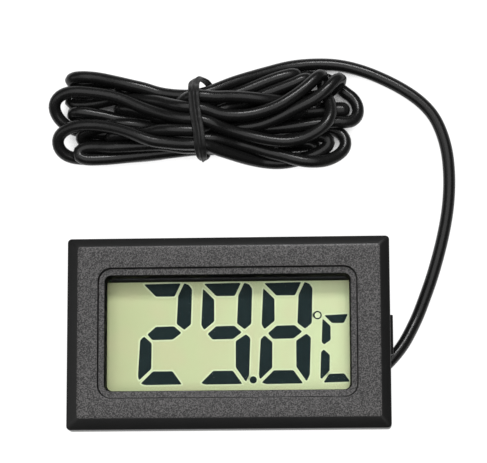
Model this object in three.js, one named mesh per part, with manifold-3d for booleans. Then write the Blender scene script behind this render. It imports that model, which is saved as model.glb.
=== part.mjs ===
// Panel thermometer with a remote probe: a snap-in case with a liquid crystal display, two button
// cells behind a sliding door, and a metre of sensor lead wound into a tied hank.
// Millimetres, +Z up. The case lies on its back: the display faces +Z and the back face is at z = 0.
import * as THREE from 'three';
import { ConvexGeometry } from 'three/addons/geometries/ConvexGeometry.js';
import * as BufferGeometryUtils from 'three/addons/utils/BufferGeometryUtils.js';
import Module from 'manifold-3d';

const wasm = await Module();
wasm.setup();

// ---------------------------------------------------------------- driving dimensions
const BEZEL = { width: 48, depth: 28.6, corner: 0.6, bottom: 11.4, rimTop: 14.45, top: 15.2 };
const BEVEL = 1.6;                     // width of the sloped edge seen from the front
const FACE = { corner: 0.4, x: 0.1, y: 0.16 };   // the flat front, a little off the case's centre
const VIEW = { x: -0.1, y: 0 };        // centre of the window
const RING = { width: 38.4, depth: 19.36, corner: 2.0, z: 14.7 };
const WINDOW = { width: 36.5, depth: 17.24, corner: 0.9, draft: 0.2 };
const POCKET = { width: 38.3, depth: 19.7, top: 12.75 };

const CASE = { width: 46, depth: 26.6, corner: 1.2, wall: 1.2, floor: 2.0, top: 11.7 };
const SPIGOT = { gap: 0.2, wall: 0.8, bottom: 9.9 };

const GLASS = { width: 37.8, depth: 19.2, thick: 0.7, film: 0.2, top: 12.55 };
const REAR_GLASS_END = 8.13;           // the rear glass stops short of the contact ledge
const BOARD = { width: 42.4, depth: 22.6, bottom: 8.0, top: 9.0, notch: 1.3 };
const SCREW = {
  x: 20.2, y: 10.5, shank: 0.6, head: 1.05, headHeight: 0.8, hole: 0.75, post: 2.2, length: 2.4,
};
const BLOB = { x: 13.5, y: 4.5, radius: 4.0, height: 1.4 };
const CRYSTAL = { x: 13.5, y: -2.2, radius: 1.0, length: 6.0 };
const CHIP = { width: 2.0, depth: 1.2, height: 0.9 };

const CELL = { radius: 5.8, height: 5.4, pitch: 12.6, bottom: 1.8, skin: 0.25 };
const BAY = { x: -6.75, y: -5.8, clearance: 0.3, wall: 0.9, top: 7.6 };
const DOOR = { width: 25.8, front: -13.3, back: 1.2, bottom: 0.1, top: 1.3, gap: 0.3, tongue: 0.7 };
const GROOVE = { count: 5, first: 2.2, pitch: 1.0, width: 0.5, depth: 0.3, length: 10.0 };

const LATCH = { width: 6.0, inner: 21.9, outer: 22.9, reach: 24.45, bottom: 4.8, top: 10.6, gap: 0.3 };

const CORD_RADIUS = 0.95;
const CORD_SIDES = 8;
const EXIT = { x: 23.0, y: -4.2, z: 3.1, angle: Math.PI / 4, hole: 1.2 };
const GAP = 0.3;                       // clearance between neighbouring solids
const ANCHOR = { inner: 1.2, outer: 1.9, width: 1.0, place: 0.72 };   // collar on the lead inside
const WIRE = { radius: 0.35, apart: 0.84 };

const HANK = { height: 9.2, waistX: -5.0, waistLow: 28.9, waistHigh: 39.3 };
const TIE = { width: 1.9, thick: 0.8, lift: 0.3, slack: 0.85, slant: -0.095 };
const PROBE = { x: 6.4, y: 36.3, z: 1.5, radius: 1.35, length: 12.0, bore: 0.95, bead: 0.7 };

// ---------------------------------------------------------------- materials
function material(color, roughness, metalness = 0) {
  return new THREE.MeshStandardMaterial({ color, roughness, metalness });
}

const PLASTIC = material(0x3a3a3b, 0.75);
const SHEATH = material(0x1a1a1a, 0.42);
const FILM = material(0xc8d0a4, 0.2);
const CLEAR = material(0xdfe5cf, 0.1);
const REFLECTOR = material(0xccd5a4, 0.5);
const RUBBER = material(0x4a4a52, 0.85);
const FOAM = material(0x2d2d2f, 0.95);
const LAMINATE = material(0x1f5a34, 0.5);
const EPOXY = material(0x0f0f10, 0.35);
const STEEL = material(0xb9bcc0, 0.3, 1);
const CERAMIC = material(0xa98a62, 0.6);
const NYLON = material(0xe4e0d2, 0.55);
const WIRE_RED = material(0xa32a22, 0.5);
const WIRE_BLACK = material(0x202022, 0.5);

// ---------------------------------------------------------------- shape helpers
function roundedRect(width, depth, radius, x = 0, y = 0) {
  const shape = new THREE.Shape();
  const a = width / 2 - radius;
  const b = depth / 2 - radius;
  shape.absarc(x + a, y + b, radius, 0, Math.PI / 2);
  shape.absarc(x - a, y + b, radius, Math.PI / 2, Math.PI);
  shape.absarc(x - a, y - b, radius, Math.PI, 1.5 * Math.PI);
  shape.absarc(x + a, y - b, radius, 1.5 * Math.PI, 2 * Math.PI);
  shape.closePath();
  return shape;
}

function slab(shape, bottom, top, curveSegments = 4) {
  const depth = top - bottom;
  const geometry = new THREE.ExtrudeGeometry(shape, { depth, bevelEnabled: false, curveSegments });
  return geometry.translate(0, 0, bottom);
}

function block(xRange, yRange, zRange) {
  const spans = [xRange, yRange, zRange].map(([low, high]) => high - low);
  const middle = [xRange, yRange, zRange].map(([low, high]) => (high + low) / 2);
  return new THREE.BoxGeometry(...spans).translate(...middle);
}

// a convex solid through outlines at different heights: [[shape, z], ...]
function hull(levels, curveSegments = 4) {
  const points = levels.flatMap(([shape, z]) =>
    shape.getPoints(curveSegments).map((p) => new THREE.Vector3(p.x, p.y, z)));
  return new ConvexGeometry(points);
}

// an outline in the XZ plane, given thickness along Y and centred on y
function sideProfile(points, width, y = 0) {
  const shape = new THREE.Shape(points.map(([x, z]) => new THREE.Vector2(x, z)));
  const geometry = new THREE.ExtrudeGeometry(shape, { depth: width, bevelEnabled: false });
  return geometry.rotateX(Math.PI / 2).translate(0, y + width / 2, 0);
}

// a solid of revolution about Z from [radius, z] points
function turned(profile, segments, x, y) {
  const points = profile.map(([r, z]) => new THREE.Vector2(r, z));
  return new THREE.LatheGeometry(points, segments).rotateX(Math.PI / 2).translate(x, y, 0);
}

function tube(points, radius, steps, sides = CORD_SIDES) {
  const path = new THREE.CatmullRomCurve3(points.map((p) => new THREE.Vector3(...p)), false, 'centripetal');
  const section = new THREE.Shape();
  for (let i = 0; i < sides; i += 1) {
    const angle = (i * 2 * Math.PI) / sides;
    section[i ? 'lineTo' : 'moveTo'](radius * Math.cos(angle), radius * Math.sin(angle));
  }
  section.closePath();
  return new THREE.ExtrudeGeometry(section, { steps, extrudePath: path, bevelEnabled: false });
}

// ---------------------------------------------------------------- booleans
function toSolid(geometry) {
  const bare = geometry.clone();
  bare.deleteAttribute('normal');
  bare.deleteAttribute('uv');
  const merged = BufferGeometryUtils.mergeVertices(bare, 1e-5);
  const mesh = new wasm.Mesh({
    numProp: 3,
    vertProperties: new Float32Array(merged.attributes.position.array),
    triVerts: new Uint32Array(merged.index.array),
  });
  return new wasm.Manifold(mesh);
}

function toGeometry(solid) {
  const { vertProperties, triVerts } = solid.getMesh();
  const geometry = new THREE.BufferGeometry();
  geometry.setAttribute('position', new THREE.BufferAttribute(new Float32Array(vertProperties), 3));
  geometry.setIndex(new THREE.BufferAttribute(new Uint32Array(triVerts), 1));
  geometry.computeVertexNormals();
  return geometry;
}

function combine(added, removed = []) {
  let solid = toSolid(added[0]);
  for (const geometry of added.slice(1)) solid = solid.add(toSolid(geometry));
  for (const geometry of removed) solid = solid.subtract(toSolid(geometry));
  return toGeometry(solid);
}

// ---------------------------------------------------------------- assembly
const thermometer = new THREE.Group();

function addPiece(name, geometry, surface) {
  const mesh = new THREE.Mesh(geometry, surface.clone());
  mesh.name = name;
  thermometer.add(mesh);
}

const CORNERS = [[1, 1], [-1, 1], [-1, -1], [1, -1]];

// ---------------------------------------------------------------- front bezel
function frontBezel() {
  const rim = roundedRect(BEZEL.width, BEZEL.depth, BEZEL.corner);
  const face = roundedRect(BEZEL.width - 2 * BEVEL, BEZEL.depth - 2 * BEVEL, FACE.corner, FACE.x, FACE.y);
  const body = hull([[rim, BEZEL.bottom], [rim, BEZEL.rimTop], [face, BEZEL.top]]);
  const seat = slab(roundedRect(CASE.width + 0.2, CASE.depth + 0.2, CASE.corner),
    BEZEL.bottom - 1, CASE.top);
  const ring = slab(roundedRect(RING.width, RING.depth, RING.corner, VIEW.x, VIEW.y), RING.z, BEZEL.top + 1);
  const mouth = roundedRect(WINDOW.width, WINDOW.depth, WINDOW.corner, VIEW.x, VIEW.y);
  const draft = 2 * WINDOW.draft;
  const throat = roundedRect(WINDOW.width - draft, WINDOW.depth - draft, WINDOW.corner, VIEW.x, VIEW.y);
  const well = hull([
    [throat, SPIGOT.bottom], [throat, POCKET.top], [mouth, RING.z], [mouth, BEZEL.top + 1],
  ]);
  const pocket = block([-POCKET.width / 2, POCKET.width / 2], [-POCKET.depth / 2, POCKET.depth / 2],
    [SPIGOT.bottom - 1, POCKET.top]);
  const inset = 2 * (CASE.wall + SPIGOT.gap);
  const spigotWidth = CASE.width - inset;
  const spigotDepth = CASE.depth - inset;
  const spigotShape = roundedRect(spigotWidth, spigotDepth, 0.6);
  spigotShape.holes.push(roundedRect(spigotWidth - 2 * SPIGOT.wall, spigotDepth - 2 * SPIGOT.wall, 0.4));
  const spigot = slab(spigotShape, SPIGOT.bottom, CASE.top + 0.2);
  const latchRoom = block([-CASE.width / 2, CASE.width / 2], [-LATCH.width / 2 - 0.6, LATCH.width / 2 + 0.6],
    [SPIGOT.bottom - 1, CASE.top]);
  const posts = CORNERS.map(([sx, sy]) => block(
    [sx * SCREW.x - SCREW.post / 2, sx * SCREW.x + SCREW.post / 2],
    [sy * SCREW.y - SCREW.post / 2, sy * SCREW.y + SCREW.post / 2],
    [BOARD.top, CASE.top + 0.2]));
  const pilots = CORNERS.map(([sx, sy]) => turned(
    [[0, BOARD.top - 1], [SCREW.hole, BOARD.top - 1], [SCREW.hole, CASE.top + 0.6], [0, CASE.top + 0.6]],
    12, sx * SCREW.x, sy * SCREW.y));
  const plate = toSolid(body).subtract(toSolid(seat));
  const joined = [spigot, ...posts].reduce((solid, next) => solid.add(toSolid(next)), plate);
  const cutters = [ring, well, pocket, latchRoom, ...pilots];
  return toGeometry(cutters.reduce((solid, next) => solid.subtract(toSolid(next)), joined));
}

// ---------------------------------------------------------------- rear case
function latchWindow(side) {
  const x = [LATCH.inner - 0.5, CASE.width / 2 + 1].map((value) => side * value).sort((a, b) => a - b);
  const y = LATCH.width / 2 + LATCH.gap;
  return block(x, [-y, y], [LATCH.bottom - LATCH.gap, LATCH.top + 0.4]);
}

function bayShape(extra) {
  const radius = CELL.radius + BAY.clearance + extra;
  return roundedRect(CELL.pitch + 2 * radius, 2 * radius, radius - 0.01, BAY.x, BAY.y);
}

function rearCase() {
  const shell = slab(roundedRect(CASE.width, CASE.depth, CASE.corner), 0, CASE.top);
  const hollow = slab(
    roundedRect(CASE.width - 2 * CASE.wall, CASE.depth - 2 * CASE.wall, 0.8), CASE.floor, CASE.top + 1);
  const bayRing = slab(bayShape(BAY.wall), CASE.floor - 0.3, BAY.top, 10);
  const bayBore = slab(bayShape(0), DOOR.top, BAY.top + 1, 10);
  const half = DOOR.width / 2 + DOOR.gap;
  const back = DOOR.back + DOOR.gap;
  const doorWay = block([BAY.x - half, BAY.x + half], [DOOR.front - 1, back], [-1, DOOR.top + DOOR.gap]);
  const groove = block([BAY.x - half - DOOR.tongue, BAY.x + half + DOOR.tongue], [DOOR.front - 1, back],
    [0.3, 1.1]);
  const boardSide = slab(roundedRect(CASE.width, CASE.depth, CASE.corner), BAY.top, CASE.top);
  const reach = 4;
  const cableHole = new THREE.CylinderGeometry(EXIT.hole, EXIT.hole, reach, 12)
    .rotateZ(EXIT.angle - Math.PI / 2)
    .translate(EXIT.x - 0.5, EXIT.y - 0.5, EXIT.z);
  const trim = slab(roundedRect(CASE.width - 0.4, CASE.depth - 0.4, CASE.corner), 0, CASE.top);
  const trimmedBay = toSolid(bayRing).intersect(toSolid(trim)).subtract(toSolid(boardSide));
  const walls = toSolid(shell).subtract(toSolid(hollow)).add(trimmedBay);
  const cutters = [bayBore, doorWay, groove, cableHole, latchWindow(1), latchWindow(-1)];
  return toGeometry(cutters.reduce((solid, next) => solid.subtract(toSolid(next)), walls));
}

// ---------------------------------------------------------------- display stack
function addDisplay() {
  const halfWidth = GLASS.width / 2;
  const halfDepth = GLASS.depth / 2;
  const layer = (top, thick, yEnd) => block([-halfWidth, halfWidth], [-halfDepth, yEnd], [top - thick, top]);
  let top = GLASS.top;
  addPiece('lcd_front_polarizer', layer(top, GLASS.film, halfDepth), FILM);
  top -= GLASS.film;
  addPiece('lcd_front_glass', layer(top, GLASS.thick, halfDepth), CLEAR);
  top -= GLASS.thick;
  const ledge = top;
  addPiece('lcd_rear_glass', layer(top, GLASS.thick, REAR_GLASS_END), CLEAR);
  top -= GLASS.thick;
  addPiece('lcd_reflector', layer(top, GLASS.film, REAR_GLASS_END), REFLECTOR);
  top -= GLASS.film;
  const stripInset = 1.0;
  const strip = (yRange, zTop) => block([-halfWidth + stripInset, halfWidth - stripInset], yRange,
    [BOARD.top, zTop]);
  addPiece('zebra_strip', strip([REAR_GLASS_END + GAP, halfDepth - 0.1], ledge), RUBBER);
  addPiece('lcd_cushion', strip([-halfDepth + 0.2, -halfDepth + 1.6], top), FOAM);
}

// ---------------------------------------------------------------- circuit board
function circuitBoard() {
  const body = slab(roundedRect(BOARD.width, BOARD.depth, 0.5), BOARD.bottom, BOARD.top);
  const holes = CORNERS.map(([sx, sy]) => turned(
    [[0, BOARD.bottom - 1], [SCREW.hole, BOARD.bottom - 1], [SCREW.hole, BOARD.top + 1], [0, BOARD.top + 1]],
    12, sx * SCREW.x, sy * SCREW.y));
  const notchY = LATCH.width / 2 + 0.6;
  const notches = [1, -1].map((side) => {
    const x = [BOARD.width / 2 - BOARD.notch, BOARD.width / 2 + 1]
      .map((value) => side * value)
      .sort((a, b) => a - b);
    return block(x, [-notchY, notchY], [BOARD.bottom - 1, BOARD.top + 1]);
  });
  return combine([body], [...holes, ...notches]);
}

function boardScrew([sx, sy]) {
  const head = BOARD.bottom - SCREW.headHeight;
  const tip = BOARD.top + SCREW.length;
  return turned([
    [0, head], [SCREW.head - 0.2, head], [SCREW.head, head + 0.3], [SCREW.head, BOARD.bottom],
    [SCREW.shank, BOARD.bottom], [SCREW.shank, tip - 0.6], [0, tip],
  ], 12, sx * SCREW.x, sy * SCREW.y);
}

function addBoardParts() {
  addPiece('circuit_board', circuitBoard(), LAMINATE);
  CORNERS.forEach((corner, i) => addPiece(`board_screw_${i + 1}`, boardScrew(corner), STEEL));
  const dome = [[0, BOARD.bottom - BLOB.height]];
  for (let i = 1; i <= 5; i += 1) {
    const angle = (i * Math.PI) / 10;
    dome.push([BLOB.radius * Math.sin(angle), BOARD.bottom - BLOB.height * Math.cos(angle)]);
  }
  dome.push([0, BOARD.bottom]);
  addPiece('chip_blob', turned(dome, 20, BLOB.x, BLOB.y), EPOXY);
  const can = new THREE.CylinderGeometry(CRYSTAL.radius, CRYSTAL.radius, CRYSTAL.length, 14)
    .rotateZ(Math.PI / 2)
    .translate(CRYSTAL.x, CRYSTAL.y, BOARD.bottom - CRYSTAL.radius);
  addPiece('crystal_can', can, STEEL);
  const chip = (x, y) => block([x - CHIP.width / 2, x + CHIP.width / 2],
    [y - CHIP.depth / 2, y + CHIP.depth / 2], [BOARD.bottom - CHIP.height, BOARD.bottom]);
  addPiece('chip_capacitor_1', chip(10.5, -5.2), CERAMIC);
  addPiece('chip_capacitor_2', chip(10.5, -7.2), CERAMIC);
  addPiece('chip_resistor_1', chip(-2, 5.2), EPOXY);
  addPiece('chip_resistor_2', chip(-6, 5.2), EPOXY);
}

// ---------------------------------------------------------------- battery
function addCell(index, poleUp) {
  const x = BAY.x + (index === 1 ? -1 : 1) * CELL.pitch / 2;
  const { radius, height, skin } = CELL;
  const fold = 1.0;
  const cap = radius - fold;
  const lay = (profile) => {
    const flipped = poleUp ? profile : profile.map(([r, z]) => [r, height - z]).reverse();
    return turned(flipped, 28, x, BAY.y).translate(0, 0, CELL.bottom);
  };
  addPiece(`cell_${index}_can`, lay([
    [0, 0], [radius - 0.4, 0], [radius, 0.4], [radius, height - 0.5], [radius - 0.3, height - 0.15],
    [radius - 0.3 - skin, height - 0.15], [radius - 0.3 - skin, skin + 0.2], [0, skin + 0.2],
  ]), STEEL);
  addPiece(`cell_${index}_gasket`, lay([
    [cap, height - 0.9], [radius - 0.65, height - 0.9], [radius - 0.65, height - 0.2], [cap, height - 0.2],
    [cap, height - 0.9],
  ]), RUBBER);
  addPiece(`cell_${index}_cap`, lay([
    [0, height - 1.2], [cap - 0.1, height - 1.2], [cap - 0.1, height - 0.15], [cap - 0.3, height],
    [0, height],
  ]), STEEL);
}

function contactSpring(x, width) {
  const top = BOARD.bottom;
  const tip = CELL.bottom + CELL.height + 0.05;
  const leaf = 0.2;
  return sideProfile([
    [x - 3, top], [x - 3, top - leaf], [x - 1.6, top - leaf], [x + 0.6, tip], [x + 2.2, tip],
    [x + 3, tip + 0.3], [x + 2.8, tip + 0.45], [x + 2.1, tip + leaf], [x + 0.7, tip + leaf], [x - 1.5, top],
  ], width, BAY.y);
}

// ---------------------------------------------------------------- battery door
function batteryDoor() {
  const half = DOOR.width / 2;
  const plate = block([BAY.x - half, BAY.x + half], [DOOR.front, DOOR.back], [DOOR.bottom, DOOR.top]);
  const tongues = block([BAY.x - half - DOOR.tongue, BAY.x + half + DOOR.tongue],
    [DOOR.front + 1, DOOR.back], [0.55, 0.9]);
  const grooves = [];
  for (let i = 0; i < GROOVE.count; i += 1) {
    const y = DOOR.front + GROOVE.first + i * GROOVE.pitch;
    grooves.push(block([BAY.x - GROOVE.length / 2, BAY.x + GROOVE.length / 2],
      [y - GROOVE.width / 2, y + GROOVE.width / 2], [DOOR.bottom - 1, DOOR.bottom + GROOVE.depth]));
  }
  return combine([plate, tongues], grooves);
}

function bridgeContact() {
  const half = CELL.pitch / 2 + 3;
  return block([BAY.x - half, BAY.x + half], [BAY.y - 2, BAY.y + 2], [DOOR.top, DOOR.top + 0.2]);
}

// ---------------------------------------------------------------- snap latches
function snapLatch(side) {
  const outline = [
    [LATCH.inner, LATCH.bottom], [LATCH.outer, LATCH.bottom], [LATCH.outer + 0.05, LATCH.bottom + 0.7],
    [LATCH.reach, 9.3], [LATCH.reach, 9.7], [LATCH.outer + 0.05, 10.4], [LATCH.outer, LATCH.top],
    [LATCH.inner, LATCH.top],
  ].map(([x, z]) => [side * x, z]);
  return sideProfile(outline, LATCH.width);
}

// ---------------------------------------------------------------- lead inside the case
const INNER_ROUTE = [[20.0, -7.2, 3.6], [18.2, -8.6, 4.2], [15.4, -9.8, 4.4]];

function addInnerLead() {
  const inward = (distance) => [
    EXIT.x - Math.cos(EXIT.angle) * distance, EXIT.y - Math.sin(EXIT.angle) * distance, EXIT.z];
  const end = INNER_ROUTE[INNER_ROUTE.length - 1];
  const route = [inward(GAP), inward(2.2), ...INNER_ROUTE];
  addPiece('lead_inner_end', tube(route, CORD_RADIUS, 9), SHEATH);

  const path = new THREE.CatmullRomCurve3(route.map((p) => new THREE.Vector3(...p)), false, 'centripetal');
  const ring = new THREE.Shape().absarc(0, 0, ANCHOR.outer, 0, 2 * Math.PI);
  ring.holes.push(new THREE.Path().absarc(0, 0, ANCHOR.inner, 0, 2 * Math.PI));
  const collar = new THREE.ExtrudeGeometry(ring,
    { depth: ANCHOR.width, bevelEnabled: false, curveSegments: 10 });
  const turn = new THREE.Quaternion().setFromUnitVectors(
    new THREE.Vector3(0, 0, 1), path.getTangentAt(ANCHOR.place));
  collar.translate(0, 0, -ANCHOR.width / 2).applyQuaternion(turn);
  addPiece('lead_anchor_tie', collar.translate(...path.getPointAt(ANCHOR.place)), NYLON);

  [['conductor_a', -1, WIRE_RED], ['conductor_b', 1, WIRE_BLACK]].forEach(([name, side, surface]) => {
    const shift = (side * WIRE.apart) / 2;
    const x = end[0] - GAP;
    const wire = [
      [x, end[1] + shift, end[2]], [x - 1.2, end[1] + shift, end[2]],
      [x - 2.2, end[1] + 1.6 * shift, 5.6], [x - 2.4, end[1] + 2 * shift, BOARD.bottom - 0.1],
    ];
    addPiece(name, tube(wire, WIRE.radius, 8), surface);
  });
}

// ---------------------------------------------------------------- free lead, hank and probe
// The free stretch, from the case to where it joins the hank.
const LEAD_POINTS = [
  [23.3, -3.9, 3.1], [24.4, -2.8, 3.0], [26.1, -0.6, 2.4], [27.35, 1.7, 1.65], [28.4, 3.9, 1.15],
  [29.5, 6.7, 0.97], [30.8, 10.3, 0.97], [32.5, 16.4, 0.97], [33.4, 21.5, 0.97], [33.6, 26.5, 0.97],
  [33.1, 30.8, 0.97], [31.6, 34.9, 0.97], [29.7, 37.3, 0.97], [27.0, 39.4, 0.97], [23.6, 41.3, 0.97],
  [20.3, 42.7, 0.97],
];

// The hank seen from above, with the last of the lead along its far edge.
const HANK_OUTLINE = [
  [19.6, 42.1], [19.8, 43.9], [16.9, 44.7], [13.8, 45.0], [9.4, 44.6], [5.0, 43.3], [0.6, 41.7],
  [-5.0, HANK.waistHigh], [-10.3, 40.2], [-16.8, 41.9], [-23.2, 42.9], [-26.2, 42.5], [-27.0, 40.9],
  [-28.5, 37.8], [-28.2, 32.2], [-27.2, 29.6], [-25.0, 28.3], [-20.3, 27.6], [-13.0, 28.3],
  [-5.0, HANK.waistLow], [0.6, 27.6], [5.0, 26.9], [10.0, 26.7], [14.0, 26.8], [17.0, 27.8], [18.9, 29.9],
  [19.9, 33.0], [20.8, 36.3], [20.2, 38.9], [18.8, 41.0],
];

function cableHank() {
  const curve = new THREE.CatmullRomCurve3(
    HANK_OUTLINE.map(([x, y]) => new THREE.Vector3(x, y, 0)), true, 'centripetal');
  const outline = new THREE.Shape(curve.getPoints(70).slice(0, -1).map((p) => new THREE.Vector2(p.x, p.y)));
  const body = slab(outline, 0, HANK.height);
  const reach = 1.6 + TIE.width / 2;
  const tieChannel = block([HANK.waistX - reach, HANK.waistX + reach], [20, 50],
    [-1, TIE.lift + TIE.thick + GAP]);
  const side = PROBE.radius + GAP;
  const probeRoom = block([PROBE.x - GAP, PROBE.x + PROBE.length + GAP], [PROBE.y - side, PROBE.y + side],
    [-1, PROBE.z + side]);
  return combine([body], [tieChannel, probeRoom]);
}

function twistTie() {
  const low = HANK.waistLow - TIE.slack - TIE.thick;
  const high = HANK.waistHigh + TIE.slack + TIE.thick;
  const top = HANK.height + GAP + TIE.thick;
  const middleY = (low + high) / 2;
  const middleZ = (TIE.lift + top) / 2;
  const spanY = high - low;
  const spanZ = top - TIE.lift;
  const band = roundedRect(spanY, spanZ, 2.2);
  band.holes.push(roundedRect(spanY - 2 * TIE.thick, spanZ - 2 * TIE.thick, 1.4));
  const loop = new THREE.ExtrudeGeometry(band, { depth: TIE.width, bevelEnabled: false, curveSegments: 4 });
  loop.translate(0, 0, -TIE.width / 2).rotateX(Math.PI / 2).rotateZ(Math.PI / 2);
  return loop.rotateZ(-TIE.slant).translate(HANK.waistX, middleY, middleZ);
}

function addProbe() {
  const { length, radius, bore } = PROBE;
  const profile = [[bore, 0], [radius - 0.15, 0], [radius, 0.4]];
  for (let i = 0; i <= 4; i += 1) {
    const angle = (i * Math.PI) / 8;
    profile.push([radius * Math.cos(angle), length - radius + radius * Math.sin(angle)]);
  }
  profile[profile.length - 1][0] = 0;
  profile.push([0, length - 1.2], [bore, length - 2.0], [bore, 0]);
  const along = (geometry) => geometry.rotateY(Math.PI / 2).translate(PROBE.x, PROBE.y, PROBE.z);
  addPiece('probe_tip', along(turned(profile, 16, 0, 0)), SHEATH);
  const bead = new THREE.SphereGeometry(PROBE.bead, 12, 8).translate(0, 0, length - 2.4);
  addPiece('thermistor_bead', along(bead), EPOXY);
}

// ---------------------------------------------------------------- build
addPiece('front_bezel', frontBezel(), PLASTIC);
addPiece('rear_case', rearCase(), PLASTIC);
addDisplay();
addBoardParts();
addCell(1, true);
addCell(2, false);
addPiece('contact_positive', contactSpring(BAY.x - CELL.pitch / 2, 4), STEEL);
addPiece('contact_negative', contactSpring(BAY.x + CELL.pitch / 2, 4), STEEL);
addPiece('battery_door', batteryDoor(), PLASTIC);
addPiece('bridge_contact', bridgeContact(), STEEL);
addPiece('latch_right', snapLatch(1), PLASTIC);
addPiece('latch_left', snapLatch(-1), PLASTIC);
addInnerLead();
addPiece('lead_cable', tube(LEAD_POINTS, CORD_RADIUS, 26), SHEATH);
addPiece('cable_hank', cableHank(), SHEATH);
addPiece('twist_tie', twistTie(), SHEATH);
addProbe();

export default thermometer;
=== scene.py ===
"""Looks of a snap-in panel thermometer with a display, a remote probe and a tied hank of lead.

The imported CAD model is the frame. This script adds the camera, the lights, the cord wound from its
route, the finely rounded shells, the display segments, the tie and every material.
Lengths in the tables below are millimetres, in the CAD frame, and MM turns them into metres.
"""
import math

import bmesh
import bpy
import numpy as np
from mathutils import Matrix, Vector


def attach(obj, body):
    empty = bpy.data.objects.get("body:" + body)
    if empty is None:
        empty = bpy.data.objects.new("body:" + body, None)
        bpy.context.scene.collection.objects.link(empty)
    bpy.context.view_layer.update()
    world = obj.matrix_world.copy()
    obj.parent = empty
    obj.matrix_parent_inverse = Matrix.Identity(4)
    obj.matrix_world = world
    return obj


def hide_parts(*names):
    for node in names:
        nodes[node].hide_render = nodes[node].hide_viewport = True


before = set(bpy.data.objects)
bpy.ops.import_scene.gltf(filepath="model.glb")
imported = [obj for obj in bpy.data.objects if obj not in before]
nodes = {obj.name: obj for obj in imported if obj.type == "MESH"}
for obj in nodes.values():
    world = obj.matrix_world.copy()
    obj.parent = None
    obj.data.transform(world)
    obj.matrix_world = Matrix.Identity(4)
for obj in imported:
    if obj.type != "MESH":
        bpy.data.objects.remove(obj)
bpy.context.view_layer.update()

MM = 0.001
MERGE_GAP = 1e-7                      # metres

# ------------------------ driving values (millimetres)
BEZEL = {"half_w": 24.0, "half_d": 14.3, "corner": 0.6, "bottom": 11.4, "rim": 14.45, "top": 15.2}
BEVEL = 1.6
FACE = (0.1, 0.16)                    # the front face's centre, a little off the rim's
VIEW = (-0.1, 0.0)                    # the window's centre
RING = {"half_w": 19.2, "half_d": 9.68, "corner": 2.0, "z": 14.7}
WINDOW = {"half_w": 18.25, "half_d": 8.62, "corner": 0.9, "draft": 0.2, "bottom": 12.75}
POCKET = {"half_w": 19.15, "half_d": 9.85}
SEAT = {"half_w": 23.1, "half_d": 13.4, "corner": 1.2, "z": 11.7}

SPIGOT = {"outer": (21.6, 11.9, 0.6), "inner": (20.8, 11.1, 0.4), "latch_gap": 3.6, "z": (9.9, 11.9)}
POST = {"x": 20.2, "y": 10.5, "radius": 1.1, "bore": 0.75, "z": (9.0, 11.9)}

CAMERA = {"target": (2.37, 14.99, 15.2), "distance": 340.9, "lean": 9.7, "pan": 2.85, "roll": -0.215,
          "lens": 169.4, "sensor": 36.0, "nearest": 10.0}

CORD_RADIUS = 0.95
WAIST_X = -5.0
WAIST_ROOM = {"y": (29.9, 38.3), "z": (2.1, 8.1), "half_x": 1.8}
PROBE = {"back": 6.4, "tip": 18.4, "y": 36.3, "z": 1.5, "radius": 1.35, "nose": 1.25, "lip": 0.05}


# ------------------------ general helpers
def add_object(name, mesh):
    piece = bpy.data.objects.new(name, mesh)
    bpy.context.scene.collection.objects.link(piece)
    return piece


def add_mesh(name, vertices, faces, smooth_angle, merge=False):
    """A new closed object from vertices in millimetres, with its faces pointing outwards."""
    mesh = bpy.data.meshes.new(name)
    mesh.from_pydata([[c * MM for c in v] for v in vertices], [], faces)
    mesh.validate()
    work = bmesh.new()
    work.from_mesh(mesh)
    if merge:
        bmesh.ops.remove_doubles(work, verts=work.verts, dist=MERGE_GAP)
    bmesh.ops.recalc_face_normals(work, faces=work.faces)
    work.to_mesh(mesh)
    work.free()
    shade(mesh, smooth_angle)
    return add_object(name, mesh)


def shade(mesh, smooth_angle):
    """Smooth shading, but for the edges that turn by more than the angle."""
    mesh.polygons.foreach_set("use_smooth", [True] * len(mesh.polygons))
    mesh.set_sharp_from_angle(angle=math.radians(smooth_angle))
    mesh.update()


def unit(vector):
    return vector / max(np.linalg.norm(vector), 1e-12)


# ------------------------ camera
def add_camera():
    """The view of the photograph: almost straight down, leaning a little towards -Y."""
    lean, pan, roll = (math.radians(CAMERA[key]) for key in ("lean", "pan", "roll"))
    back = Vector((math.sin(pan) * math.cos(lean), -math.sin(lean), math.cos(lean) * math.cos(pan)))
    back.normalize()
    level = Vector((0, 1, 0)).cross(back).normalized()
    upright = back.cross(level)
    right = level * math.cos(roll) + upright * math.sin(roll)
    up = back.cross(right)
    data = bpy.data.cameras.new("camera")
    data.sensor_width = CAMERA["sensor"]
    data.sensor_fit = "HORIZONTAL"
    data.lens = CAMERA["lens"]
    data.clip_start = CAMERA["nearest"] * MM
    camera = bpy.data.objects.new("camera", data)
    turn = Matrix((right, up, back)).transposed().to_4x4()
    place = Vector(CAMERA["target"]) + back * CAMERA["distance"]
    camera.matrix_world = Matrix.Translation(place * MM) @ turn
    bpy.context.scene.collection.objects.link(camera)
    bpy.context.scene.camera = camera


# ------------------------ the cord's route
# The free stretch: out of the case, down to the table, and round to the hank.
LEAD = [
    (22.4, -4.8, 3.1), (23.3, -3.9, 3.1), (24.4, -2.8, 3), (26.1, -0.6, 2.4), (27.35, 1.7, 1.65),
    (28.4, 3.9, 1.15), (29.5, 6.7, 0.97), (30.8, 10.3, 0.97), (32.5, 16.4, 0.97), (33.4, 21.5, 0.97),
    (33.6, 26.5, 0.97), (33.1, 30.8, 0.97), (31.6, 34.9, 0.97), (29.7, 37.3, 0.97), (27, 39.4, 0.97),
    (23.6, 41.3, 0.97), (20.3, 42.7, 0.97), (16.9, 43.6, 0.97), (13.8, 43.85, 1), (9.4, 43.45, 1.6),
    (5, 42.1, 2.8), (0.6, 40.5, 4.2),
]

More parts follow.
